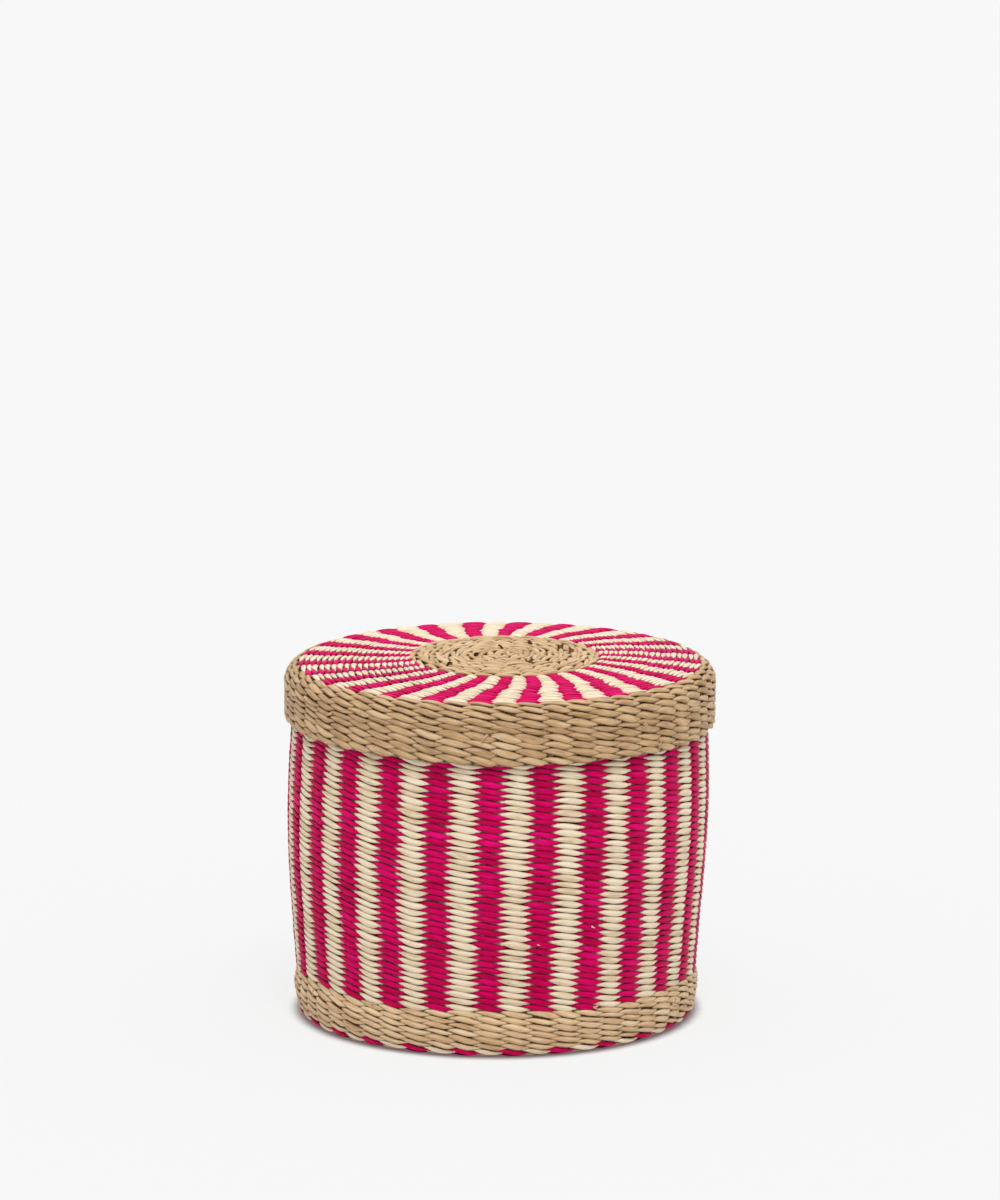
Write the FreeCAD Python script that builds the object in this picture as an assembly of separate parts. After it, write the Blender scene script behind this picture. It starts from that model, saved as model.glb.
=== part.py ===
import FreeCAD, Part
import math
import os

# Round lidded hat box twined from palm strands over palm-cane stakes. Millimetres, +Z up,
# with the origin at the middle of the ring that the box stands on.
# The weave is two layers of strands with the stakes between them: wherever the magenta strand
# passes outside a stake, the cream strand passes inside it.

# Overall sizes
WALL_HEIGHT = 281.0        # floor to the top of the rim
WIDEST_RADIUS = 170.2      # outside of the wall where it bellies out most
WIDEST_HEIGHT = 175.0
BELLY_ARC = 860.0          # radius of the wall's curved outline
FLARE_HEIGHT = 112.0       # the outline is straight below this height
STAKE_COUNT = 52           # an even number, because the two colours take turns
BOX_TURN = 5.3             # direction of the wall's first magenta column, degrees; the base's is one on
LID_TURN = 1.2             # and of the lid, which has been put on a little turned

# The weave's thickness
LAYER = 1.7                # one layer of strands
STAKE = 1.2                # a stake's thickness
STAKE_WIDTH = 4.0
PACKING = 0.15             # room between a stake and the layer beside it
SEAM = 0.3                 # room between neighbouring columns and bands
WEAVE = 2 * LAYER + STAKE + 2 * PACKING

# Base and foot
CENTRE_RADIUS = 75.0       # plain middle of the base and of the lid
BASE_RECESS = 1.0          # the base's middle is held off the floor by its edge row
EDGE_TUCK = 3.5            # the edge row leaves the floor this far inside the wall's line
EDGE_FLAT_WIDTH = 5.0      # how wide a ring the edge row stands on
EDGE_HEIGHT = 6.0          # the edge row turns up to this height
EDGE_SWELL = 0.9           # how far the edge row's top stands out from the wall's line
EDGE_BULGE = 0.9           # how far the edge row's outside bows out of a straight slope
CORNER_HEIGHT = 12.0       # the stakes have finished their bend at this height
FOOT_HEIGHT = 38.0         # top of the plain foot band
FOOT_SWELL = 1.7           # how far the foot band stands out from the wall's line

# Rim
RIM_DEPTH = 4.8

# Lid
SKIRT_DEPTH = 39.8         # lid's lower edge to the underside of its top
SKIRT_LIP = 2.4            # the plain skirt starts this far in from the lid's shoulder
LID_FIT = 1.3              # room between the wall and the inside of the skirt
LID_SEAT = 0.3             # room between the rim and the lid's underside
SHOULDER = 6.0             # inside corner radius of the lid
DOME_RISE = 5.0
CENTRE_SWELL = 1.6         # how far the lid's plain middle stands proud
LID_EDGE_DEPTH = 3.6

# What follows from them
TURN = 360.0 / STAKE_COUNT
OUTER = 0.0
STAKE_INSET = LAYER + PACKING
INNER_INSET = STAKE_INSET + STAKE + PACKING
BASE_STAKE = BASE_RECESS + STAKE_INSET
BASE_INNER = BASE_RECESS + INNER_INSET
BASE_TOP = BASE_RECESS + WEAVE
LID_UNDER = WALL_HEIGHT + LID_SEAT
SHOULDER_HEIGHT = LID_UNDER - SHOULDER
SKIRT_BOTTOM = LID_UNDER - SKIRT_DEPTH
SKIRT_START = SKIRT_BOTTOM + LID_EDGE_DEPTH + SEAM
RIM_BOTTOM = WALL_HEIGHT - RIM_DEPTH
WALL_TOP = RIM_BOTTOM - SEAM


def wall_radius(height):
    """Outside of the wall: a large arc, carried on as a straight flare towards the foot."""
    sine = (WIDEST_HEIGHT - max(height, FLARE_HEIGHT)) / BELLY_ARC
    cosine = math.sqrt(1 - sine * sine)
    below = max(FLARE_HEIGHT - height, 0)
    return WIDEST_RADIUS - BELLY_ARC * (1 - cosine) - below * sine / cosine


def widest_between(low, high):
    """Largest outside radius of the wall over a range of heights."""
    return wall_radius(min(max(WIDEST_HEIGHT, low), high))


EDGE_FLAT = wall_radius(EDGE_HEIGHT) - EDGE_TUCK
LID_INNER_RADIUS = widest_between(SKIRT_BOTTOM, WALL_HEIGHT) + LID_FIT
SHOULDER_RADIUS = LID_INNER_RADIUS - SHOULDER
STRIPE_RADIUS = SHOULDER_RADIUS - SKIRT_LIP


def point(radius, height):
    return FreeCAD.Vector(radius, 0, height)


def line(start, end):
    return Part.LineSegment(start, end).toShape()


def arc(start, middle, end):
    return Part.Arc(start, middle, end).toShape()


def corner(centre_radius, centre_height, radius, start_angle, end_angle):
    """An arc of an outline, from one angle to the other, in degrees from outward to up."""
    angles = [math.radians(a) for a in (start_angle, (start_angle + end_angle) / 2, end_angle)]
    places = [point(centre_radius + radius * math.cos(a), centre_height + radius * math.sin(a))
              for a in angles]
    return arc(*places)


def wall_curve(low, high, inset):
    """The wall's outline between two heights, moved towards the axis by the inset."""
    stops = [low, high]
    if low < FLARE_HEIGHT < high:
        stops = [low, FLARE_HEIGHT, high]
    edges = []
    for start, end in zip(stops, stops[1:]):
        places = [point(wall_radius(h) - inset, h) for h in (start, (start + end) / 2, end)]
        if end <= FLARE_HEIGHT:
            edges.append(line(places[0], places[2]))
        else:
            edges.append(arc(*places))
    return edges


def ends(edges):
    """First and last point of a run of edges."""
    first = edges[0].valueAt(edges[0].FirstParameter)
    last = edges[-1].valueAt(edges[-1].LastParameter)
    return first, last


def strip(outside, inside):
    """The flat face between two runs of edges that go the same way."""
    outer_first, outer_last = ends(outside)
    inner_first, inner_last = ends(inside)
    closing = [line(outer_last, inner_last), line(inner_first, outer_first)]
    return Part.Face(Part.Wire(Part.__sortEdges__(outside + inside + closing)))


def ring(face):
    return face.revolve(FreeCAD.Vector(0, 0, 0), FreeCAD.Vector(0, 0, 1), 360)


def spread(shape, count, first_angle):
    """Copies of a shape, evenly round the axis from the first one's direction."""
    copies = []
    for index in range(count):
        copy = shape.copy()
        angle = first_angle + index * 360.0 / count
        copy.rotate(FreeCAD.Vector(0, 0, 0), FreeCAD.Vector(0, 0, 1), angle)
        copies.append(copy)
    return Part.makeCompound(copies)


def columns(face, first_angle, narrow_radius):
    """Every second column round the box, one stake wide less a seam at its narrowest radius."""
    width = TURN - math.degrees(SEAM / narrow_radius)
    column = face.revolve(FreeCAD.Vector(0, 0, 0), FreeCAD.Vector(0, 0, 1), width)
    return spread(column, STAKE_COUNT // 2, first_angle - width / 2)


def tucks(face, first_angle, narrow_radius):
    """A border's tucks, each as wide as two stakes less a seam at its narrowest radius."""
    width = 2 * TURN - math.degrees(SEAM / narrow_radius)
    tuck = face.revolve(FreeCAD.Vector(0, 0, 0), FreeCAD.Vector(0, 0, 1), width)
    return spread(tuck, STAKE_COUNT // 2, first_angle - width / 2)


def bars(face, first_angle):
    """A flat bar with the face's outline at every stake."""
    bar = face.extrude(FreeCAD.Vector(0, STAKE_WIDTH, 0))
    bar.translate(FreeCAD.Vector(0, -STAKE_WIDTH / 2, 0))
    return spread(bar, STAKE_COUNT, first_angle)


def rounded_end(outer_radius, inner_radius, flat, tip):
    """Outline of a ring that is flat at one end and fully rounded at the other."""
    half = (outer_radius - inner_radius) / 2
    middle = inner_radius + half
    side = math.copysign(half, tip - flat)
    edges = [
        line(point(outer_radius, flat), point(outer_radius, tip - side)),
        arc(point(outer_radius, tip - side), point(middle, tip), point(inner_radius, tip - side)),
        line(point(inner_radius, tip - side), point(inner_radius, flat)),
        line(point(inner_radius, flat), point(outer_radius, flat)),
    ]
    return Part.Face(Part.Wire(edges))


# ---- base ----

def base_centre():
    thickness = BASE_INNER - PACKING - BASE_RECESS
    return Part.makeCylinder(CENTRE_RADIUS, thickness, FreeCAD.Vector(0, 0, BASE_RECESS))


def base_weaver(first_angle):
    start = CENTRE_RADIUS + SEAM
    reach = EDGE_FLAT - EDGE_FLAT_WIDTH - SEAM
    low = [line(point(start, BASE_RECESS), point(reach, BASE_RECESS))]
    high = [line(point(start, BASE_RECESS + LAYER), point(reach, BASE_RECESS + LAYER))]
    return columns(strip(low, high), first_angle, CENTRE_RADIUS)


def corner_centre():
    """Radius of the centre that all the layers of the foot's corner turn about."""
    turn_radius = CORNER_HEIGHT - BASE_STAKE
    return wall_radius(CORNER_HEIGHT) - STAKE_INSET - turn_radius


def base_inner_passes():
    return Part.makeCylinder(corner_centre() - SEAM, LAYER, FreeCAD.Vector(0, 0, BASE_INNER))


def edge_row(first_angle):
    """The last row of the base, which turns up round the box's foot and stands on the floor."""
    start = EDGE_FLAT - EDGE_FLAT_WIDTH
    top = wall_radius(EDGE_HEIGHT) + EDGE_SWELL
    slope = math.hypot(top - EDGE_FLAT, EDGE_HEIGHT)
    bowed = point(
        (EDGE_FLAT + top) / 2 + EDGE_BULGE * EDGE_HEIGHT / slope,
        EDGE_HEIGHT / 2 - EDGE_BULGE * (top - EDGE_FLAT) / slope)
    outside = [
        line(point(start, 0), point(EDGE_FLAT, 0)),
        arc(point(EDGE_FLAT, 0), bowed, point(top, EDGE_HEIGHT)),
    ]
    inside = [
        line(point(start, LAYER), point(EDGE_FLAT - LAYER / 2, LAYER)),
        line(point(EDGE_FLAT - LAYER / 2, LAYER), point(top - LAYER, EDGE_HEIGHT)),
    ]
    return columns(strip(outside, inside), first_angle, start)


def foot_band():
    low = EDGE_HEIGHT + SEAM
    high = FOOT_HEIGHT - SEAM / 2
    middle = (low + high) / 2
    outside = [arc(point(wall_radius(low) + EDGE_SWELL, low),
                   point(wall_radius(middle) + EDGE_SWELL + FOOT_SWELL, middle),
                   point(wall_radius(high), high))]
    inside = wall_curve(low, high, LAYER)
    return ring(strip(outside, inside))


# ---- wall ----

def wall_weaver(first_angle):
    low = FOOT_HEIGHT + SEAM / 2
    outside = wall_curve(low, WALL_TOP, OUTER)
    inside = wall_curve(low, WALL_TOP, LAYER)
    return columns(strip(outside, inside), first_angle, wall_radius(low) - LAYER)


def bent_layer(bottom, inset, start, top):
    """One side of a layer that runs out along the base, round the corner and up the wall."""
    centre = corner_centre()
    turn_radius = CORNER_HEIGHT - bottom
    turn = corner(centre, CORNER_HEIGHT, turn_radius, -90, 0)
    edges = [turn]
    if start < centre:
        edges = [line(point(start, bottom), point(centre, bottom)), turn]
    return edges + wall_curve(CORNER_HEIGHT, top, inset)


def wall_inner_passes():
    start = corner_centre()
    outside = bent_layer(BASE_INNER, INNER_INSET, start, WALL_TOP)
    inside = bent_layer(BASE_TOP, WEAVE, start, WALL_TOP)
    return ring(strip(outside, inside))


def stakes():
    start = CENTRE_RADIUS + SEAM
    outside = bent_layer(BASE_STAKE, STAKE_INSET, start, WALL_TOP)
    inside = bent_layer(BASE_STAKE + STAKE, STAKE_INSET + STAKE, start, WALL_TOP)
    return bars(strip(outside, inside), BOX_TURN)


def rim_border():
    outer_radius = wall_radius(RIM_BOTTOM)
    inner_radius = outer_radius - WEAVE
    outline = rounded_end(outer_radius, inner_radius, RIM_BOTTOM, WALL_HEIGHT)
    return tucks(outline, BOX_TURN, inner_radius)


# ---- lid ----

def dome(radius):
    """How far the lid's top rises above its edge."""
    return DOME_RISE * (1 - (radius / SHOULDER_RADIUS) ** 2)


def dome_curve(start, end, height):
    places = [point(r, height + dome(r)) for r in (start, (start + end) / 2, end)]
    return [arc(*places)]


def lid_layer(start, reach, low, high):
    """The flat face between two heights above the lid's underside, following the dome."""
    over = dome_curve(start, reach, LID_UNDER + high)
    under = dome_curve(start, reach, LID_UNDER + low)
    return strip(over, under)


def lid_centre():
    return ring(lid_layer(0, CENTRE_RADIUS, LAYER + PACKING, WEAVE + CENTRE_SWELL))


def lid_weaver(first_angle):
    face = lid_layer(CENTRE_RADIUS + SEAM, STRIPE_RADIUS - SEAM / 2, WEAVE - LAYER, WEAVE)
    return columns(face, first_angle, CENTRE_RADIUS)


def lid_inner_passes():
    return ring(lid_layer(0, STRIPE_RADIUS - SEAM / 2, 0, LAYER))


def skirt_side(start, depth):
    """One side of a layer that turns over the lid's shoulder and hangs down as the skirt."""
    turn_radius = SHOULDER + depth
    radius = SHOULDER_RADIUS + turn_radius
    top = dome_curve(start, SHOULDER_RADIUS, LID_UNDER + depth)
    turn = corner(SHOULDER_RADIUS, SHOULDER_HEIGHT, turn_radius, 90, 0)
    drop = line(point(radius, SHOULDER_HEIGHT), point(radius, SKIRT_START))
    return top + [turn, drop]


def lid_skirt_weave():
    start = STRIPE_RADIUS + SEAM / 2
    return ring(strip(skirt_side(start, WEAVE), skirt_side(start, WEAVE - LAYER)))


def lid_skirt_inner_passes():
    start = STRIPE_RADIUS + SEAM / 2
    return ring(strip(skirt_side(start, LAYER), skirt_side(start, 0)))


def lid_stakes():
    low = LAYER + PACKING
    start = CENTRE_RADIUS + SEAM
    return bars(strip(skirt_side(start, low + STAKE), skirt_side(start, low)), LID_TURN)


def lid_edge_border():
    top = SKIRT_BOTTOM + LID_EDGE_DEPTH
    outline = rounded_end(LID_INNER_RADIUS + WEAVE, LID_INNER_RADIUS, top, SKIRT_BOTTOM)
    return tucks(outline, LID_TURN, LID_INNER_RADIUS)


PARTS = {
    "base_centre": base_centre(),
    "base_magenta_weaver": base_weaver(BOX_TURN + TURN),
    "base_cream_weaver": base_weaver(BOX_TURN),
    "base_inner_passes": base_inner_passes(),
    "base_edge_magenta": edge_row(BOX_TURN + TURN),
    "base_edge_cream": edge_row(BOX_TURN),
    "foot_band": foot_band(),
    "wall_magenta_weaver": wall_weaver(BOX_TURN),
    "wall_cream_weaver": wall_weaver(BOX_TURN + TURN),
    "wall_inner_passes": wall_inner_passes(),
    "stakes": stakes(),
    "rim_border": rim_border(),
    "lid_centre": lid_centre(),
    "lid_magenta_weaver": lid_weaver(LID_TURN),
    "lid_cream_weaver": lid_weaver(LID_TURN + TURN),
    "lid_inner_passes": lid_inner_passes(),
    "lid_stakes": lid_stakes(),
    "lid_skirt_weave": lid_skirt_weave(),
    "lid_skirt_inner_passes": lid_skirt_inner_passes(),
    "lid_edge_border": lid_edge_border(),
}

os.makedirs("parts", exist_ok=True)
for name, shape in PARTS.items():
    shape.exportStep("parts/" + name + ".step")
    print("%-24s %3d solids  valid %s  volume %9.0f mm3" % (
        name, len(shape.Solids), shape.isValid(), shape.Volume))
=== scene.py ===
import math

import bpy
import numpy as np
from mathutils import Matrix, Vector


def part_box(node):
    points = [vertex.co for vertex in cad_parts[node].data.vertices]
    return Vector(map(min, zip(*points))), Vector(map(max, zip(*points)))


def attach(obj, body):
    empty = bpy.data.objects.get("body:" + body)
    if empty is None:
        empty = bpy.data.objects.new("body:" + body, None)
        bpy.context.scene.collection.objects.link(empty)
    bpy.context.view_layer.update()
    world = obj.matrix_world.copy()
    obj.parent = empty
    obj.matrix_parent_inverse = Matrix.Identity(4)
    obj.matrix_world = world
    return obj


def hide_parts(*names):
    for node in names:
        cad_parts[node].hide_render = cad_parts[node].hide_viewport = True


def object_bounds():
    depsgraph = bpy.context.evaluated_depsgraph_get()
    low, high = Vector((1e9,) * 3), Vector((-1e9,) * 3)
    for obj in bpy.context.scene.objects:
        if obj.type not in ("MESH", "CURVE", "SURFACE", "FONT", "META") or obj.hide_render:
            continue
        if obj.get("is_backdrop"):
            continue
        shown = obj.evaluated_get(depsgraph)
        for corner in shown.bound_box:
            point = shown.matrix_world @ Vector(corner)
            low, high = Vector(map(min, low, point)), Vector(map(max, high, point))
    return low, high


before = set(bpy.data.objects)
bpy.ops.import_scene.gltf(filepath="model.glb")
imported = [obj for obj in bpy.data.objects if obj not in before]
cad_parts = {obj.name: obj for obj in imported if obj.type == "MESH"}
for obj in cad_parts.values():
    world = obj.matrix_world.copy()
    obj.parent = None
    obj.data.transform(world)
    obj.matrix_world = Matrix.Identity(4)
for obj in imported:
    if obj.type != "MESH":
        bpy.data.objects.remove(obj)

# Round lidded hat box twined from palm strands. The strands are worked out in millimetres, in the
# CAD's frame, and every mesh is written in metres.

CAD_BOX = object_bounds()
MM = 0.001

# ---- sizes that the CAD has too, in millimetres and degrees ----
STAKES = 52
TURN = 360.0 / STAKES
BOX_TURN = 5.3          # direction of the wall's first magenta column; the base's is one on
LID_TURN = 1.2          # direction of the lid's first magenta stripe
WEAVE = 4.9             # thickness of the whole weave
WIDEST_RADIUS = 170.2
WIDEST_HEIGHT = 175.0
BELLY_ARC = 860.0       # radius of the wall's curve
FLARE_HEIGHT = 112.0    # the wall is straight below this
CENTRE_RADIUS = 75.0    # of the plain middles
FOOT_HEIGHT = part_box("foot_band")[1].z / MM
EDGE_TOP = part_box("base_edge_cream")[1].z / MM
WALL_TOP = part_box("wall_cream_weaver")[1].z / MM
RIM_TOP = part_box("rim_border")[1].z / MM
LID_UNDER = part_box("lid_inner_passes")[0].z / MM
LID_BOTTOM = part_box("lid_edge_border")[0].z / MM
LID_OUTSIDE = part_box("lid_skirt_weave")[1].x / MM
SHOULDER = 6.0
SHOULDER_RADIUS = LID_OUTSIDE - WEAVE - SHOULDER
STRIPE_RADIUS = SHOULDER_RADIUS - 2.4
DOME_RISE = 5.0         # how much higher the lid's middle is than its shoulder

# ---- the weave ----
BASE_ROWS = 18
FOOT_ROWS = 6
WALL_ROWS = 46
LID_ROWS = 19
SKIRT_ROWS = 9
DISC_START = 3.0        # where the plain middles' first row begins
HUB_START = 0.2         # where the spokes under them begin
SPOKES = 13
FLOOR_GAP = 0.02        # keeps the strands that lie on the floor from sharing its surface
# Where a strand is worked out between one stake and the next, closest where it dives.
STEPS = np.array([0.0, 0.17, 0.31, 0.42, 0.5, 0.58, 0.69, 0.83])
# How much stitches differ: in size (a share), outwards and along (mm), and round (stakes).
SIZE_JITTER = 0.05
OUT_JITTER = 0.10
PLACE_JITTER = 0.14
TURN_JITTER = 0.035
STITCH_TONE = 0.7
ROW_TONE = 0.35
WHOLE_ROW = 1.6         # how much more whole rows differ in height than stitches do
LEAST_SHARE = 0.45      # no row is thinner than this share of an even one
HALF_OVERLAPPING = 0.515    # half a strand's height beside its row's, so that rows touch
MOST_OFFSET = 50.0      # how far apart strands start in the fibre pattern, in centimetres


def wall_radius(height):
    """Outside radius of the wall: an arc with its widest place above the middle, straight below."""
    sine = (WIDEST_HEIGHT - max(height, FLARE_HEIGHT)) / BELLY_ARC
    cosine = math.sqrt(1 - sine * sine)
    below = max(FLARE_HEIGHT - height, 0)
    return WIDEST_RADIUS - BELLY_ARC * (1 - cosine) - below * sine / cosine


def ramp(value, low, high):
    """0 below low, 1 above high, and a smooth step between."""
    part = np.clip((np.asarray(value, float) - low) / (high - low), 0, 1)
    return part * part * (3 - 2 * part)


class Outline:
    """The middle of the weave's thickness, from the axis outwards, as an outline to turn round."""

    def __init__(self, places, flip):
        places = np.array(places, float)
        self.r, self.z = places.T
        steps = np.hypot(np.diff(self.r), np.diff(self.z))
        self.s = np.concatenate([[0], np.cumsum(steps)])
        dr = np.gradient(self.r, self.s)
        dz = np.gradient(self.z, self.s)
        size = np.hypot(dr, dz)
        self.tr, self.tz = dr / size, dz / size
        self.nr, self.nz = flip * self.tz, -flip * self.tr

    def at_radius(self, radius):
        return float(np.interp(radius, self.r, self.s))

    def at_height(self, height):
        order = 1 if self.z[-1] > self.z[0] else -1
        return float(np.interp(height, self.z[::order], self.s[::order]))

    def read(self, s, *names):
        return [np.interp(s, self.s, getattr(self, name)) for name in names]

    def place(self, s, out, angle):
        r, z, nr, nz = self.read(s, "r", "z", "nr", "nz")
        radius = r + nr * out
        turn = np.radians(angle)
        return np.stack([radius * np.cos(turn), radius * np.sin(turn), z + nz * out], -1)

    def frame(self, s, angle):
        """Directions out of the surface, along the outline, and round the axis."""
        tr, tz, nr, nz = self.read(s, "tr", "tz", "nr", "nz")
        turn = np.radians(angle)
        cosine, sine = np.cos(turn), np.sin(turn)
        out = np.stack([nr * cosine, nr * sine, nz], -1)
        along = np.stack([tr * cosine, tr * sine, tz], -1)
        about = np.stack([-sine, cosine, np.zeros_like(sine)], -1)
        return out, along, about


def arc_points(centre_r, centre_z, radius, start, end):
    turns = np.radians(np.linspace(start, end, 24))
    return [(centre_r + radius * math.cos(t), centre_z + radius * math.sin(t)) for t in turns]


def basket_outline():
    """Base, turned-up foot and wall. The foot stands a little proud of the wall's line, and the
    base's middle is off the floor."""
    half = WEAVE / 2
    corner_height = 7.4
    corner_swell, foot_swell = 0.9, 1.7
    swell_start, swell_length = 6.0, 32.0
    base_lift, lift_inside, lift_outside = 1.0, 138, 150
    turn_radius = corner_height - half
    centre = wall_radius(corner_height) + corner_swell - half - turn_radius
    places = [(r, half + base_lift * float(1 - ramp(r, lift_inside, lift_outside)))
              for r in np.linspace(0, centre - 0.5, 120)]
    places += arc_points(centre, corner_height, turn_radius, -90, 0)
    for height in np.linspace(corner_height + 1, RIM_TOP, 240):
        up = min(max((height - swell_start) / swell_length, 0), 1)
        swell = corner_swell + foot_swell * math.sin(math.pi * up)
        swell *= float(1 - ramp(height, FOOT_HEIGHT - 14, FOOT_HEIGHT + 1))
        places.append((wall_radius(height) + swell - half, height))
    return Outline(places, 1)


def dome(radius):
    return DOME_RISE * (1 - (radius / SHOULDER_RADIUS) ** 2)


def lid_outline():
    """The domed top, its proud plain middle, the shoulder and the skirt, which runs on past its edge
    so that the last row has an outline to follow."""
    half = WEAVE / 2
    middle_proud = 1.0
    turn_radius = 12.0
    past_edge = 8.0
    places = []
    for r in np.linspace(0, SHOULDER_RADIUS, 200):
        proud = middle_proud * float(1 - ramp(r, CENTRE_RADIUS - 7, CENTRE_RADIUS + 2))
        places.append((r, LID_UNDER + half + dome(r) + proud))
    outside = SHOULDER_RADIUS + SHOULDER + half
    centre_radius = outside - turn_radius
    places = [place for place in places if place[0] < centre_radius - 0.5]
    centre_height = LID_UNDER + half + dome(centre_radius) - turn_radius
    places += arc_points(centre_radius, centre_height, turn_radius, 86, 0)
    for height in np.linspace(centre_height - 1, LID_BOTTOM - past_edge, 80):
        places.append((outside, height))
    return Outline(places, -1)


BASKET = basket_outline()
LID = lid_outline()


def read_round(table, u):
    """A table with one column a stake, read between the stakes."""
    count = table.shape[-1]
    low = np.floor(u).astype(int)
    part = u - low
    part = part * part * (3 - 2 * part)
    return table[..., low % count] * (1 - part) + table[..., (low + 1) % count] * part


def waves(rng, rows, count, size):
    """Slow random waves round the box, a row of them for each row of the weave."""
    turns = np.arange(count) / count * 2 * math.pi
    found = np.zeros((rows, count))
    for harmonic in range(1, 8):
        phase = rng.uniform(0, 2 * math.pi, (rows, 1))
        much = rng.normal(0, size / math.sqrt(harmonic), (rows, 1))
        found += much * np.cos(harmonic * turns + phase)
    return found


class Zone:
    """Rows of twining between two places on an outline, worked over evenly spaced stakes.

    lean: 1 or -1, the way that the stitches slant, and slant is how much
    relief: how far a strand goes out and in, and thin and thick are its thickness there and between
    waist: a strand's height where it dives, as a share of its height on the outside
    wander, rough: how much the rows' heights and the single stitches differ
    pale: added to the stitches' tone; on the lid it is partly painted light
    stagger: how much whole rows are shifted round, in stakes
    spread: how far the columns drift apart towards the front, in stakes
    twist, shift: degrees and millimetres to move by, worked out from s
    heights: the rows' heights beside each other
    """

    def __init__(self, outline, start, end, rows, seed, stakes=STAKES, turn=BOX_TURN, lean=-1,
                 relief=1.35, thin=2.3, thick=2.9, slant=0.23, waist=0.38, wander=0.035, rough=1.0,
                 pale=0.0, stagger=0.0, spread=0.0, twist=None, shift=None, heights=None):
        rng = np.random.default_rng(seed)
        self.outline, self.stakes, self.turn = outline, stakes, turn
        self.slant = slant * np.broadcast_to(lean, rows)
        self.relief, self.thin, self.thick, self.waist = relief, thin, thick, waist
        self.twist, self.shift = twist, shift
        start = np.broadcast_to(start, stakes)
        end = np.broadcast_to(end, stakes)
        share = 1 + waves(rng, rows, stakes, wander) + rng.normal(0, wander, (rows, stakes))
        share *= np.exp(rng.normal(0, wander * WHOLE_ROW, (rows, 1)))
        if heights is not None:
            share *= np.asarray(heights, float)[:, None]
        share = np.maximum(share, LEAST_SHARE)
        self.height = share / share.sum(0) * (end - start)
        self.middle = start + np.cumsum(self.height, 0) - self.height / 2
        shape = (2, rows, stakes)
        self.size_jitter = rng.normal(0, SIZE_JITTER * rough, shape)
        self.out_jitter = rng.normal(0, OUT_JITTER * rough, shape)
        self.place_jitter = rng.normal(0, PLACE_JITTER * rough, shape)
        self.turn_jitter = (rng.normal(0, TURN_JITTER * rough, shape)
                            + rng.normal(0, stagger, (rows, 1)))
        self.tone = (pale + rng.normal(0, 1, shape) * STITCH_TONE
                     + rng.normal(0, 1, (2, rows, 1)) * ROW_TONE)
        self.offset = rng.uniform(0, MOST_OFFSET, (2, rows))
        directions = np.radians(turn + np.arange(stakes) * 360.0 / stakes)
        self.wobble = waves(rng, 1, stakes, 0.05)[0] + spread * (np.cos(directions) - 0.2)

    def angle(self, u, s):
        """Direction of stake number u where it is s along the outline."""
        angle = self.turn + (u + self.wobble_at(u, s)) * 360.0 / self.stakes
        if self.twist is not None:
            angle = angle + self.twist(s)
        return angle

    def wobble_at(self, u, s):
        """How far a stake is from its even place, in stakes. It changes slowly along the stake."""
        slow = 0.03 * np.sin(s / 17.0 + 2.4 * u)
        quick = 0.02 * np.sin(s / 7.1 - 1.7 * u)
        return read_round(self.wobble, u) + slow + quick

    def strand(self, side, rows):
        """Stations along one strand of each of these rows, as arrays of (row, station)."""
        u = (np.arange(self.stakes)[:, None] + STEPS).ravel()
        rows = np.asarray(rows)
        height = read_round(self.height[rows], u)
        middle = read_round(self.middle[rows], u)
        own = u + read_round(self.turn_jitter[side, rows], u) - side
        swing = np.cos(math.pi * own)
        drift = np.sin(math.pi * own)
        size = 1 + read_round(self.size_jitter[side, rows], u)
        slant = self.slant[rows][:, None]
        s = middle + slant * height * drift + read_round(self.place_jitter[side, rows], u)
        out = self.relief * np.sin(math.pi / 2 * swing) + read_round(self.out_jitter[side, rows], u)
        fullness = self.waist + (1 - self.waist) * np.abs(swing) ** 0.62
        half_height = height * fullness * HALF_OVERLAPPING * size
        half_thickness = (self.thin + (self.thick - self.thin) * (1 - np.abs(swing)) ** 1.3) / 2
        angle = self.angle(u, s)
        centre = self.outline.place(s, out, angle)
        if self.shift is not None:
            centre = centre + self.shift(s)
        outward, along, _ = self.outline.frame(s, angle)
        tone = read_round(self.tone[side, rows], u)
        return centre, outward, along, half_thickness, half_height, tone, self.offset[side, rows], out


def both_strands(zone, rows):
    """Both strands of these rows, for a zone of one colour."""
    return joined([zone.strand(side, rows) for side in (0, 1)])


def joined(parts):
    """The stations of several runs of strands with equally many stations, one after another."""
    return [np.concatenate(arrays) for arrays in zip(*parts)]


PROFILE_STEPS = 10
CREST = 2.5             # how far the strands' crests are from the middle of the weave
# Painted shade: a strand's colour is darkened where it lies deep in the weave and on its sides next to
# the rows beside it, where shade falls.
DEEP_FROM, DEEP_TO = 1.75, 2.5      # depth below the crest over which a strand darkens
SIDE_SHADE = 0.62       # how dark a strand's sides are next to its deep parts
CUT_GIRTH = 3.08        # about a tube's girth beside its two half sizes, for the bake map's strips
CUT_FILL = 0.85
STRIP_MARGIN = 0.07     # of a strip's height, empty on each side
END_MARGIN = 0.004      # of the map's width, empty at each end


def profile():
    """A strand's cross-section."""
    turns = np.linspace(0, 2 * math.pi, PROFILE_STEPS, endpoint=False)
    return np.cos(turns), np.sin(turns)


def corner_map(left, right, low, high):
    """Map places for the four corners of each face."""
    places = ((left, low), (left, high), (right, high), (right, low))
    return np.stack([np.stack(np.broadcast_arrays(*place), -1) for place in places], -2)


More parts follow.
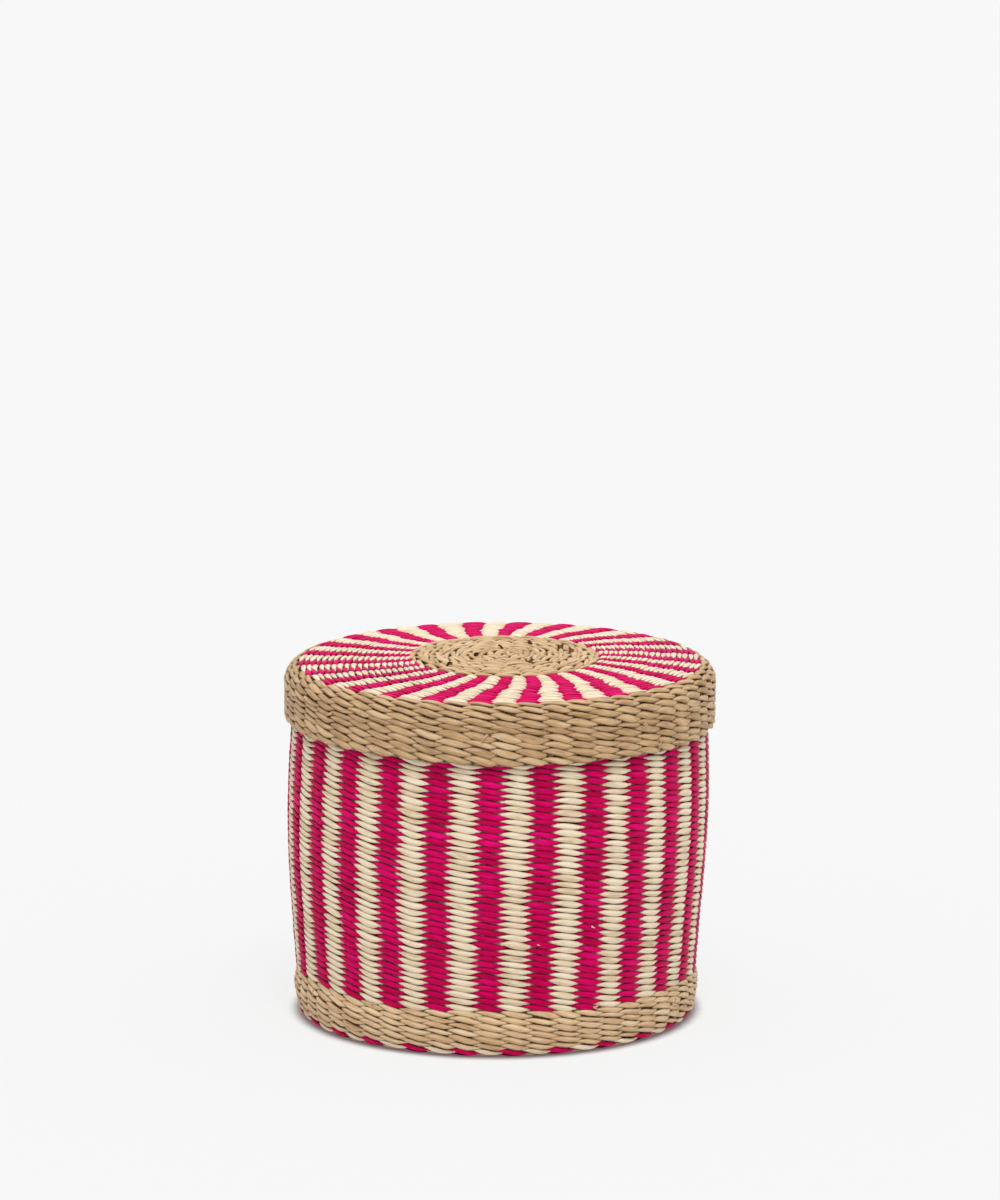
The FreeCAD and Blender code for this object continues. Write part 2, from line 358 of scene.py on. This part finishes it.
def tubes(name, stations, closed=True):
    """One mesh of many tubes. Its maps are Strand, in centimetres along and turns about, and OFBake,
    where each tube is cut into strips that lie one above another."""
    centre, first, second, first_half, second_half, tone, offset, out = stations
    runs, count = centre.shape[:2]
    px, py = profile()
    around = len(px)
    verts = (centre[:, :, None]
             + first[:, :, None] * (first_half[:, :, None] * px)[..., None]
             + second[:, :, None] * (second_half[:, :, None] * py)[..., None])
    # Painted shade: the share of the shade colour to mix in, from how deep the strand lies and from its
    # sides.
    depth = CREST - np.abs(out[..., None] + first_half[..., None] * px)
    sides = ramp(1 - np.abs(px), 0.3, 0.9)
    painted_crevice_shade = np.clip(SIDE_SHADE * sides + ramp(depth, DEEP_FROM, DEEP_TO), 0, 1)
    verts[..., 2] = np.maximum(verts[..., 2], FLOOR_GAP)
    spans = count if closed else count - 1
    run, station, corner = np.meshgrid(np.arange(runs), np.arange(spans), np.arange(around),
                                       indexing="ij")
    following = (station + 1) % count
    beside = (corner + 1) % around

    def index(a, b, c):
        return (a * count + b) * around + c

    quads = np.stack([index(run, station, corner), index(run, station, beside),
                      index(run, following, beside), index(run, following, corner)],
                     -1).reshape(-1, 4)
    lengths = np.linalg.norm(np.diff(centre, axis=1, append=centre[:, :1]), axis=-1)
    travelled = np.concatenate([np.zeros((runs, 1)), np.cumsum(lengths, 1)], 1) / 10
    begins = np.take_along_axis(travelled, station[:, :, 0], 1)
    stops = np.take_along_axis(travelled, station[:, :, 0] + 1, 1)
    v0 = corner / around
    v1 = (corner + 1) / around
    strand_map = corner_map(begins[:, :, None] + offset[:, None, None],
                            stops[:, :, None] + offset[:, None, None], v0, v1)
    girth = CUT_GIRTH * float((first_half + second_half).mean())
    length = float(travelled[:, -1].mean()) * 10
    cuts = max(1, round(math.sqrt(CUT_FILL * length / (girth * runs))))
    piece = -(-spans // cuts)
    strip = run * cuts + station // piece
    total = runs * cuts
    wide, high = 1 - 2 * END_MARGIN, 1 - 2 * STRIP_MARGIN
    bake_map = corner_map(END_MARGIN + wide * (station % piece) / piece,
                          END_MARGIN + wide * (station % piece + 1) / piece,
                          (strip + STRIP_MARGIN + high * v0) / total,
                          (strip + STRIP_MARGIN + high * v1) / total)
    faces = [quads]
    if not closed:
        ends = []
        for r in range(runs):
            ends.append([index(r, 0, c) for c in reversed(range(around))])
            ends.append([index(r, count - 1, c) for c in range(around)])
        faces.append(np.array(ends))
    maps = {"OFBake": bake_map.reshape(-1, 2), "Strand": strand_map.reshape(-1, 2)}
    values = {"tone": np.repeat(tone.ravel(), around), "painted_crevice_shade": painted_crevice_shade.ravel()}
    return write_mesh(name, verts.reshape(-1, 3) * MM, faces, maps, values)


def write_mesh(name, verts, faces, maps, values_by_name):
    """A mesh from arrays. Faces past the end of a map, the tubes' ends, lie at its corner."""
    mesh = bpy.data.meshes.new(name)
    mesh.vertices.add(len(verts))
    mesh.vertices.foreach_set("co", verts.astype(np.float32).ravel())
    loops = np.concatenate([f.ravel() for f in faces]).astype(np.int32)
    sizes = np.concatenate([np.full(len(f), f.shape[1]) for f in faces]).astype(np.int32)
    mesh.loops.add(len(loops))
    mesh.loops.foreach_set("vertex_index", loops)
    mesh.polygons.add(len(sizes))
    starts = np.concatenate([[0], np.cumsum(sizes)[:-1]]).astype(np.int32)
    mesh.polygons.foreach_set("loop_start", starts)
    mesh.polygons.foreach_set("use_smooth", np.ones(len(sizes), bool))
    for map_name, values in maps.items():
        layer = mesh.uv_layers.new(name=map_name, do_init=False)
        full = np.zeros((len(loops), 2), np.float32)
        full[:len(values)] = values
        layer.uv.foreach_set("vector", full.ravel())
    for value_name, values in values_by_name.items():
        layer = mesh.attributes.new(value_name, "FLOAT", "POINT")
        layer.data.foreach_set("value", values.astype(np.float32))
    mesh.update(calc_edges=True)
    piece = bpy.data.objects.new(name, mesh)
    bpy.context.scene.collection.objects.link(piece)
    return piece


# ---- materials ----

def linear(*rgb):
    """An sRGB colour from 0 to 255 as a linear RGBA one."""
    scaled = [c / 255 for c in rgb]
    return [c / 12.92 if c <= 0.04045 else ((c + 0.055) / 1.055) ** 2.4 for c in scaled] + [1.0]


def node(tree, kind, inputs=(), **settings):
    made = tree.nodes.new(kind)
    for key, value in settings.items():
        setattr(made, key, value)
    for socket, value in dict(inputs).items():
        if isinstance(value, bpy.types.NodeSocket):
            tree.links.new(value, made.inputs[socket])
        else:
            made.inputs[socket].default_value = value
    return made


def streaks(tree, coords, scale, detail, roughness=0.5, location=(0.0, 0.0, 0.0)):
    """Noise drawn out along the strand."""
    place = node(tree, "ShaderNodeMapping",
                 {"Vector": coords.outputs["UV"], "Scale": scale, "Location": location})
    return node(tree, "ShaderNodeTexNoise",
                {"Vector": place.outputs[0], "Scale": 1.0, "Detail": detail, "Roughness": roughness},
                noise_dimensions="2D").outputs["Fac"]


def scaled(tree, value, factor, added):
    return node(tree, "ShaderNodeMath", {0: value, 1: factor, 2: added},
                operation="MULTIPLY_ADD").outputs[0]


def palm(name, painted_crevice_shade, dark, middle, light, roughness, fibre, gloss, sheen):
    """Satin palm strand: fine fibres along it, paler and darker stretches, and a different tone each
    stitch. A per-point attribute paints shade on it by mixing in the given shade colour between strands
    and on their sides."""
    material = bpy.data.materials.new(name)
    material.use_nodes = True
    tree = material.node_tree
    shader = tree.nodes["Principled BSDF"]
    coords = node(tree, "ShaderNodeUVMap", uv_map="Strand")
    tone = node(tree, "ShaderNodeAttribute", attribute_name="tone", attribute_type="GEOMETRY")
    deep = node(tree, "ShaderNodeAttribute", attribute_name="painted_crevice_shade", attribute_type="GEOMETRY")
    fine = streaks(tree, coords, (0.9, 34.0, 1.0), 3.0, roughness=0.6)
    broad = streaks(tree, coords, (0.5, 3.2, 1.0), 2.0, location=(7.3, 2.1, 0.0))
    vein = streaks(tree, coords, (0.35, 13.0, 1.0), 1.0, location=(3.1, 5.7, 0.0))
    stitch = scaled(tree, tone.outputs["Fac"], 0.11, 0.5)
    stretch = scaled(tree, broad, 0.7, -0.35)
    base = node(tree, "ShaderNodeMath", {0: stitch, 1: stretch}, operation="ADD")
    value = node(tree, "ShaderNodeMath",
                 {0: base.outputs[0], 1: scaled(tree, fine, fibre, -fibre / 2)},
                 operation="ADD", use_clamp=True)
    colours = node(tree, "ShaderNodeValToRGB", {"Fac": value.outputs[0]})
    stops = colours.color_ramp.elements
    stops[0].position, stops[0].color = 0.12, dark
    stops[1].position, stops[1].color = 0.88, light
    stops.new(0.5).color = middle
    # Painted shade: the shade colour is mixed in by the attribute.
    shaded = node(tree, "ShaderNodeMix",
                  {"Factor": deep.outputs["Fac"], 6: colours.outputs["Color"], 7: painted_crevice_shade},
                  data_type="RGBA")
    tree.links.new(shaded.outputs[2], shader.inputs["Base Color"])
    rough = node(tree, "ShaderNodeMapRange",
                 {"Value": fine, "To Min": roughness - 0.1, "To Max": roughness + 0.12})
    tree.links.new(rough.outputs[0], shader.inputs["Roughness"])
    vein_bump = node(tree, "ShaderNodeBump", {"Height": vein, "Strength": 0.8, "Distance": 0.0005})
    bump = node(tree, "ShaderNodeBump", {"Height": fine, "Strength": 0.75, "Distance": 0.00025,
                                         "Normal": vein_bump.outputs[0]})
    tree.links.new(bump.outputs[0], shader.inputs["Normal"])
    shader.inputs["Specular IOR Level"].default_value = gloss
    shader.inputs["Sheen Weight"].default_value = sheen
    shader.inputs["Sheen Roughness"].default_value = 0.35
    return material


# The first colour of each material is painted shade for the crevices and sides of its strands.
MATERIALS = {
    "magenta_palm": palm("palm_magenta", painted_crevice_shade=linear(62, 0, 12), dark=linear(160, 0, 56),
                         middle=linear(200, 0, 82), light=linear(234, 12, 122),
                         roughness=0.46, fibre=0.5, gloss=0.04, sheen=0.08),
    "cream_palm": palm("palm_cream", painted_crevice_shade=linear(166, 112, 70), dark=linear(201, 173, 135),
                       middle=linear(234, 217, 187), light=linear(245, 234, 211),
                       roughness=0.48, fibre=0.55, gloss=0.18, sheen=0.16),
    "tan_palm": palm("palm_tan", painted_crevice_shade=linear(28, 15, 6), dark=linear(160, 124, 84),
                     middle=linear(208, 173, 131), light=linear(234, 206, 167),
                     roughness=0.5, fibre=0.65, gloss=0.15, sheen=0.12),
    "stake_cane": palm("cane", painted_crevice_shade=linear(40, 24, 12), dark=linear(70, 50, 30),
                       middle=linear(104, 78, 50), light=linear(140, 110, 76),
                       roughness=0.65, fibre=0.6, gloss=0.1, sheen=0.0),
}


def finish(piece, slot, body, *nodes):
    """Gives a piece its material and its body, and hides the CAD nodes that it stands for."""
    piece.data.materials.append(MATERIALS[slot])
    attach(piece, body)
    if nodes:
        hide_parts(*nodes)


# ---- the box ----
def lean_over(s):
    """The box stands a little crooked: its foot is to the left of its rim."""
    foot_left = 3.0
    moved = np.zeros(np.shape(s) + (3,))
    moved[..., 0] = -foot_left * (1 - ramp(s, BASKET.at_height(60), BASKET.at_height(265)))
    return moved


def unlike_neighbours(rows, much):
    """Row heights that are a little more and a little less in turn."""
    return 1 + much * (-1.0) ** np.arange(rows)


ROUND = np.radians(BOX_TURN + np.arange(STAKES) * TURN)
foot_start = BASKET.at_height(EDGE_TOP + 0.9)
# The foot's upper edge is uneven, and lower at the right.
foot_end = BASKET.at_height(FOOT_HEIGHT) - 1.2 * np.cos(ROUND) - 1.5 * (1 + np.cos(6 * ROUND)) + 0.4
wall_end = BASKET.at_height(WALL_TOP)
base_start = BASKET.at_radius(CENTRE_RADIUS)

base = Zone(BASKET, base_start, foot_start, BASE_ROWS + 1, 11, turn=BOX_TURN + TURN, spread=0.3,
            shift=lean_over, heights=[1.0] * (BASE_ROWS - 1) + [1.1, 1.3])
foot = Zone(BASKET, foot_start, foot_end, FOOT_ROWS, 12, slant=0.27, waist=0.42, wander=0.05,
            rough=1.5, pale=1.1, spread=0.3, shift=lean_over)
wall = Zone(BASKET, foot_end, wall_end, WALL_ROWS, 13, stagger=0.015, spread=0.3, shift=lean_over,
            heights=unlike_neighbours(WALL_ROWS, 0.07))

half_wall = WALL_ROWS // 2
for side, colour in enumerate(("magenta", "cream")):
    slot = colour + "_palm"
    for part, rows in (("lower", range(half_wall)), ("upper", range(half_wall, WALL_ROWS))):
        finish(tubes(f"wall_{colour}_strands_{part}", wall.strand(side, rows)), slot, "basket",
               f"wall_{colour}_weaver", "wall_inner_passes")
    finish(tubes(f"base_{colour}_strands", base.strand(side, range(BASE_ROWS))), slot, "basket",
           f"base_{colour}_weaver", "base_inner_passes")
    finish(tubes(f"base_edge_{colour}_strand", base.strand(side, [BASE_ROWS])), slot, "basket",
           f"base_edge_{colour}")
finish(tubes("foot_strands", both_strands(foot, range(FOOT_ROWS))), "tan_palm", "basket",
       "foot_band")


# ---- the lid ----
def swirl(s):
    """The lid's stripes turn a few degrees as they near its middle."""
    most = 8.0
    return most * (1 - ramp(s, CENTRE_RADIUS - 20, STRIPE_RADIUS + 10))


def off_centre(s):
    """The plain middle isn't quite in the middle of the lid."""
    right = 3.6
    moved = np.zeros(np.shape(s) + (3,))
    moved[..., 0] = right * (1 - ramp(s, CENTRE_RADIUS, STRIPE_RADIUS))
    return moved


def disc_edge(count):
    """The plain middle is longer from front to back than from side to side, and longest at the
    back."""
    turns = np.radians(LID_TURN + np.arange(count) * 360.0 / count)
    uneven = 5.5 * np.sin(turns) ** 2 + 4.5 * np.sin(turns) + 1.5 * np.cos(turns) + 1.0
    return LID.at_radius(CENTRE_RADIUS) + uneven


LID_ROUND = np.radians(LID_TURN + np.arange(STAKES) * TURN)
lid_start = disc_edge(STAKES)
skirt_start = LID.at_radius(STRIPE_RADIUS) + 1.2 + 2.6 * np.sin(LID_ROUND)
skirt_end = (LID.at_height(LID_BOTTOM) + 0.6 + 2.6 * np.cos(LID_ROUND)
             - 1.8 * np.sin(LID_ROUND) - 0.6 * np.cos(6 * LID_ROUND))
# pale=0.9 makes the lid's stripes lighter than the wall's. This is partly painted light from overhead and
# partly the strands' own tone.
lid = Zone(LID, lid_start, skirt_start, LID_ROWS, 21, turn=LID_TURN, lean=1, pale=0.9,
           stagger=0.07, twist=swirl, shift=off_centre, heights=unlike_neighbours(LID_ROWS, 0.1))
skirt = Zone(LID, skirt_start, skirt_end, SKIRT_ROWS, 22, turn=LID_TURN, lean=1, slant=0.27,
             waist=0.42, wander=0.055, rough=1.6, pale=-0.8)
for side, colour in enumerate(("magenta", "cream")):
    finish(tubes(f"lid_{colour}_strands", lid.strand(side, range(LID_ROWS))), colour + "_palm",
           "lid", f"lid_{colour}_weaver", "lid_inner_passes")
finish(tubes("skirt_strands", both_strands(skirt, range(SKIRT_ROWS - 1))), "tan_palm", "lid",
       "lid_skirt_weave", "lid_skirt_inner_passes")
finish(tubes("skirt_edge_strands", both_strands(skirt, [SKIRT_ROWS - 1])), "tan_palm", "lid",
       "lid_edge_border")


# ---- plain middles of the base and lid ----
def disc(name, outline, edge, seed, lean, body, node_name, twist=None, shift=None):
    """Coarser twining over fewer stakes towards the middle, in rings given as (inside, outside,
    rows, stakes). Every third row slants the other way."""
    rings = ((DISC_START, 21.0, 3, 7), (21.0, 48.0, 6, 13), (48.0, None, 6, 26))
    for index, (inner, outer, rows, stakes_here) in enumerate(rings):
        leans = lean * np.where(np.arange(rows) % 3 == 1, -1, 1)
        zone = Zone(outline, inner, outer or edge(stakes_here), rows, seed + index,
                    stakes=stakes_here, turn=LID_TURN, lean=leans, wander=0.09, rough=2.0,
                    thick=3.2, thin=2.5, waist=0.62, pale=0.1, twist=twist, shift=shift, relief=1.7)
        finish(tubes(f"{name}_{index}", both_strands(zone, range(rows))), "tan_palm", body,
               node_name)


disc("base_disc_strands", BASKET, lambda count: base_start, 31, -1, "basket", "base_centre",
     shift=lean_over)
disc("lid_disc_strands", LID, disc_edge, 41, 1, "lid", "lid_centre", swirl, off_centre)


# ---- stakes ----
def stakes(name, zone, start, end, body, node_name, count=STAKES, width=4.0):
    """Flat stakes that follow a zone's outline under its strands."""
    thickness = 1.2
    stations = 110
    rng = np.random.default_rng(51)
    u = np.arange(count)[:, None] + 0.0
    s = np.broadcast_to(np.linspace(0, 1, stations), (count, stations)) * (end - start) + start
    level = np.zeros_like(s)
    angle = zone.angle(u, s)
    centre = zone.outline.place(s, rng.uniform(-0.15, 0.15, (count, 1)) + level, angle)
    if zone.shift is not None:
        centre = centre + zone.shift(s)
    outward, _, about = zone.outline.frame(s, angle)
    tone = rng.normal(0, 1, (count, 1)) + level
    finish(tubes(name, [centre, outward, about, level + thickness / 2, level + width / 2, tone,
                        rng.uniform(0, MOST_OFFSET, count), level], closed=False),
           "stake_cane", body, node_name)


stakes("basket_stakes", wall, base_start, wall_end + 1.0, "basket", "stakes")
stakes("lid_stakes_bent", lid, lid_start.min(), LID.at_height(LID_BOTTOM) - 3.0, "lid",
       "lid_stakes")
spoke_width = 6.5
base_hub = Zone(BASKET, HUB_START, base_start, 1, 52, stakes=SPOKES, shift=lean_over)
lid_hub = Zone(LID, HUB_START, lid_start.min(), 1, 53, stakes=SPOKES, turn=LID_TURN, twist=swirl,
               shift=off_centre)
stakes("base_spokes", base_hub, HUB_START, base_start, "basket", "base_centre", SPOKES,
       spoke_width)
stakes("lid_spokes", lid_hub, HUB_START, lid_start.min(), "lid", "lid_centre", SPOKES, spoke_width)


# ---- rim ----
def rim():
    """The stakes' ends laid over and twisted together along the top edge."""
    strands, twists = 3, 26
    twist_radius = 1.25
    half_strand = 1.35
    above_wall = 2.3
    u = (np.arange(STAKES)[:, None] + np.linspace(0, 1, 6, endpoint=False)).ravel()
    runs = []
    rng = np.random.default_rng(61)
    middle = wall_end + above_wall
    for index in range(strands):
        turn = 2 * math.pi * (u * twists / STAKES + index / strands)
        s = middle + twist_radius * np.sin(turn)
        out = twist_radius * np.cos(turn)
        angle = wall.angle(u, s)
        centre = BASKET.place(s, out, angle) + lean_over(s)
        outward, along, _ = BASKET.frame(s, angle)
        size = half_strand + 0.08 * read_round(rng.normal(0, 1, STAKES), u)
        tone = read_round(rng.normal(0, 1, STAKES), u)
        runs.append([a[None] for a in (centre, outward, along, size, size, tone)]
                    + [rng.uniform(0, MOST_OFFSET, 1), np.abs(out)[None]])
    return tubes("rim_twist", joined(runs))


finish(rim(), "tan_palm", "basket", "rim_border")


# ---- loose ends and hairs ----
def loose_ends(name, outline, places, seed, each, length, width, lift, direction, slot, body,
               shift=None):
    """Short tapering ends that come out of the weave at these places, given as (s, angle). Each
    rises to lift, and points about `direction` degrees round from the way that s runs."""
    root = 1.2
    rng = np.random.default_rng(seed)
    t = np.linspace(0, 1, 7)
    runs = []
    for s_start, angle_start in places:
        for _ in range(each):
            bearing = math.radians(direction + rng.normal(0, 28))
            reach = length * rng.uniform(0.7, 1.2)
            bend = rng.normal(0, 0.35)
            s = s_start + rng.normal(0, 0.7) + reach * t * np.cos(bearing + bend * t)
            radius = outline.read(s, "r")[0]
            around = rng.normal(0, 0.7) + reach * t * np.sin(bearing + bend * t)
            angle = angle_start + np.degrees(around / radius)
            rise = lift * rng.uniform(0.8, 1.2) - root
            out = root + rise * np.sin(math.pi / 2 * np.minimum(t * 1.4, 1))
            centre = outline.place(s, out, angle)
            if shift is not None:
                centre = centre + shift(s)
            outward, along, about = outline.frame(s, angle)
            across = along * np.sin(bearing) - about * np.cos(bearing)
            half = width / 2 * (1 - 0.75 * t ** 2)
            runs.append([a[None] for a in (centre, outward, across, 0.45 * half, half)]
                        + [np.full((1, len(t)), rng.normal(0, 1)),
                           rng.uniform(0, MOST_OFFSET, 1), out[None]])
    finish(tubes(name, joined(runs), closed=False), slot, body)


def at_heights(outline, places):
    return [(outline.at_height(height), angle) for height, angle in places]


# Where the clearest ones are: distance from the lid's middle or height, then direction.
KNOTS = ((24.5, 197), (44.7, 61), (21.0, 92), (50.7, 25), (53.9, 8), (61.0, 222), (38.0, 300))
SKIRT_SPLICES = ((262, -48), (246, -43), (263, -93), (255, 20), (268, 66), (250, 118), (259, 171),
                 (266, -140))
FOOT_SPLICES = ((35, -128), (34, -97), (36, -62), (24, -30), (30, 25), (33, 80), (22, 150),
                (28, 205))
WALL_SPLICES = ((93, -79), (104, -64), (83, -84), (140, -20), (190, 35), (120, 70), (212, 130),
                (88, 185), (160, 222))
loose_ends("lid_brown_knots", LID, [(LID.at_radius(r), angle) for r, angle in KNOTS], seed=71,
           each=5, length=4.8, width=2.6, lift=4.9, direction=90, slot="stake_cane", body="lid",
           shift=off_centre)
loose_ends("skirt_splices", LID, at_heights(LID, SKIRT_SPLICES), seed=72, each=2, length=7.0,
           width=2.2, lift=3.2, direction=-70, slot="tan_palm", body="lid")
loose_ends("foot_splices", BASKET, at_heights(BASKET, FOOT_SPLICES), seed=73, each=2, length=5.5,
           width=2.0, lift=2.9, direction=100, slot="tan_palm", body="basket", shift=lean_over)
loose_ends("wall_splices", BASKET, at_heights(BASKET, WALL_SPLICES), seed=74, each=1, length=3.2,
           width=1.5, lift=2.8, direction=80, slot="cream_palm", body="basket", shift=lean_over)


def scattered(seed, count, low, high):
    """Random places round the outline between two values of s."""
    rng = np.random.default_rng(seed)
    return list(zip(rng.uniform(low, high, count), rng.uniform(-180, 180, count)))


wall_low, wall_high = BASKET.at_height(50), BASKET.at_height(225)
for seed, direction in ((81, 0), (82, 60), (83, 130)):
    loose_ends(f"wall_hairs_{direction}", BASKET, scattered(seed, 9, wall_low, wall_high),
               seed=seed + 10, each=1, length=11.0, width=0.3, lift=3.0, direction=direction,
               slot="magenta_palm", body="basket", shift=lean_over)
loose_ends("lid_hairs", LID, scattered(84, 14, LID.at_radius(88), LID.at_radius(150)), seed=94,
           each=1, length=8.0, width=0.3, lift=3.1, direction=40, slot="magenta_palm", body="lid")


# ---- floor, light and camera ----
PAPER = 0.9216          # the backdrop's brightness in the picture, linear
PAPER_COLOUR = (PAPER, PAPER, PAPER, 1)
CONTACT_SHADOW_COLOUR = (0.2, 0.13, 0.13, 1)
CONTACT_SHADOW_REACH = 0.012
FLOOR_GLOW = 0.85       # share of the floor's brightness that takes no shadow


def floor():
    """Pale paper. Its glow carries a painted contact shadow, so it goes dark only close to what stands on
    it.
    """
    mesh = bpy.data.meshes.new("floor")
    reach = 30.0
    mesh.from_pydata([(-reach, -reach, 0), (reach, -reach, 0), (reach, reach, 0), (-reach, reach, 0)], [],
                     [(0, 1, 2, 3)])
    piece = bpy.data.objects.new("floor", mesh)
    bpy.context.scene.collection.objects.link(piece)
    material = bpy.data.materials.new("floor_paper")
    material.use_nodes = True
    tree = material.node_tree
    tree.nodes.remove(tree.nodes["Principled BSDF"])
    diffuse = node(tree, "ShaderNodeBsdfDiffuse", {"Color": (0.78, 0.78, 0.78, 1)})
    # Painted shadow: occlusion close by darkens the paper's glow towards the shadow colour.
    contact = node(tree, "ShaderNodeAmbientOcclusion", {"Distance": CONTACT_SHADOW_REACH}, samples=12)
    near = node(tree, "ShaderNodeMapRange",
                {"Value": contact.outputs["AO"], "From Min": 0.3, "From Max": 0.98},
                interpolation_type="SMOOTHSTEP")
    painted_shadow_colour = node(tree, "ShaderNodeMix",
                {"Factor": near.outputs[0], 6: CONTACT_SHADOW_COLOUR, 7: PAPER_COLOUR}, data_type="RGBA")
    glow = node(tree, "ShaderNodeEmission", {"Color": painted_shadow_colour.outputs[2], "Strength": 1.0})
    path = node(tree, "ShaderNodeLightPath")
    share = node(tree, "ShaderNodeMath", {0: path.outputs["Is Camera Ray"], 1: FLOOR_GLOW},
                 operation="MULTIPLY")
    mix = node(tree, "ShaderNodeMixShader",
               {"Fac": share.outputs[0], 1: diffuse.outputs[0], 2: glow.outputs[0]})
    tree.links.new(mix.outputs[0], tree.nodes["Material Output"].inputs["Surface"])
    mesh.materials.append(material)
    piece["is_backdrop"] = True


floor()

scene = bpy.context.scene
scene.view_settings.view_transform = "Standard"


def studio(overhead, level):
    """A pale backdrop, lit from a wide softbox overhead and less from the sides."""
    world = bpy.data.worlds.new("studio")
    scene.world = world
    world.use_nodes = True
    tree = world.node_tree
    seen = tree.nodes["Background"]
    seen.inputs["Color"].default_value = PAPER_COLOUR
    coords = node(tree, "ShaderNodeTexCoord")
    parts = node(tree, "ShaderNodeSeparateXYZ", {"Vector": coords.outputs["Generated"]})
    height = node(tree, "ShaderNodeMapRange",
                  {"Value": parts.outputs["Z"], "From Min": -0.1, "From Max": 0.9,
                   "To Min": level, "To Max": overhead}, interpolation_type="SMOOTHSTEP")
    light = node(tree, "ShaderNodeBackground",
                 {"Color": (1, 1, 1, 1), "Strength": height.outputs[0]})
    path = node(tree, "ShaderNodeLightPath")
    mix = node(tree, "ShaderNodeMixShader", {"Fac": path.outputs["Is Camera Ray"], 1: light.outputs[0],
                                             2: seen.outputs[0]})
    tree.links.new(mix.outputs[0], tree.nodes["World Output"].inputs["Surface"])


studio(1.03, 0.25)


def sun(name, azimuth, elevation, strength, softness):
    """A distant lamp. Directions and softness are in degrees."""
    lamp = bpy.data.lights.new(name, "SUN")
    lamp.energy = strength
    lamp.angle = math.radians(softness)
    piece = bpy.data.objects.new(name, lamp)
    piece.rotation_euler = (math.radians(90 - elevation), 0, math.radians(azimuth))
    scene.collection.objects.link(piece)


sun("key", 8, 65, 1.5, 20)


def camera():
    """At the photograph's viewing angle, aimed above the box, which stands low in the frame."""
    distance = 5.0
    elevation = math.radians(13.2)
    raised = math.radians(2.13688)
    data = bpy.data.cameras.new("camera")
    data.sensor_width = 36.0
    data.lens = 185.325
    data.clip_end = 100
    piece = bpy.data.objects.new("camera", data)
    middle = (CAD_BOX[0][2] + CAD_BOX[1][2]) / 2
    piece.location = (0, -distance * math.cos(elevation), middle + distance * math.sin(elevation))
    piece.rotation_euler = (math.pi / 2 - elevation + raised, 0, 0)
    scene.collection.objects.link(piece)
    scene.camera = piece


camera()
